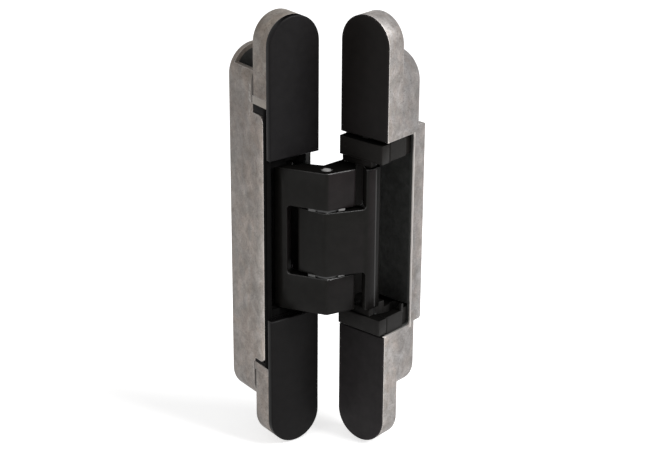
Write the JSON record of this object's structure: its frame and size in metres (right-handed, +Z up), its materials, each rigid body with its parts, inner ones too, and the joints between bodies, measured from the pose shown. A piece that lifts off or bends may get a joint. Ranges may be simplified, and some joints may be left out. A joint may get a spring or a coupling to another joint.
{
  "type": "concealed door hinge",
  "caption": "Concealed invisible door hinge with mortise bodies, interlocked folding arms and cover caps, shown about half open.",
  "frame": {"origin": "midway between the left body's two fixing holes, on the back face of its end plates, where it seats in the door frame", "axes": "+Z up along the hinge; +Y into the left body, away from its face; +X across the left face towards the opening edge"},
  "size_m": [0.062, 0.0566, 0.188],
  "materials": {
    "raw_zinc": "raw die-cast zinc, mottled",
    "black_paint": "satin",
    "black_plastic": "matte",
    "pale_plastic": "matte",
    "steel": "satin"
  },
  "bodies": {
    "left_body": {"left_housing": "raw_zinc", "left_end_plate_top": "raw_zinc", "left_end_plate_bottom": "raw_zinc", "left_end_plate_screws": "steel", "left_cover_top": "black_paint", "left_cover_bottom": "black_paint", "left_carriage": "black_plastic", "left_carriage_screws": "black_plastic", "left_pivot_pin": "steel"},
    "tongue": {"tongue_arm": "black_paint", "tongue_slider_pins": "steel", "tongue_slider_rollers": "steel"},
    "fork": {"fork_arm": "black_paint", "centre_pin": "steel", "centre_washers": "pale_plastic", "fork_slider_pins": "steel", "fork_slider_rollers": "steel"},
    "right_body": {"right_housing": "raw_zinc", "right_cover_top": "black_paint", "right_cover_bottom": "black_paint", "right_front_block_top": "black_paint", "right_front_block_bottom": "black_paint", "right_carriage": "black_plastic", "right_adjusting_screws": "steel", "right_pivot_pin": "steel"}
  },
  "joints": [
    {"name": "left_pivot", "type": "hinge", "parent": "left_body", "child": "tongue", "pos_m": [0.0089, -0.00865, 0], "axis": [0, 0, 1], "range_deg": [-69, 51]},
    {"name": "centre_pivot", "type": "hinge", "parent": "tongue", "child": "fork", "pos_m": [0.00844, -0.0231, 0], "axis": [0, 0, 1], "range_deg": [-25.5, 34.5]},
    {"name": "right_pivot", "type": "hinge", "parent": "fork", "child": "right_body", "pos_m": [0.02238, -0.01928, 0], "axis": [0, 0, 1], "range_deg": [-69, 51]}
  ],
  "couplings": [
    {"joint": "centre_pivot", "follows": "left_pivot", "ratio": -0.5},
    {"joint": "right_pivot", "follows": "left_pivot", "ratio": 1}
  ]
}
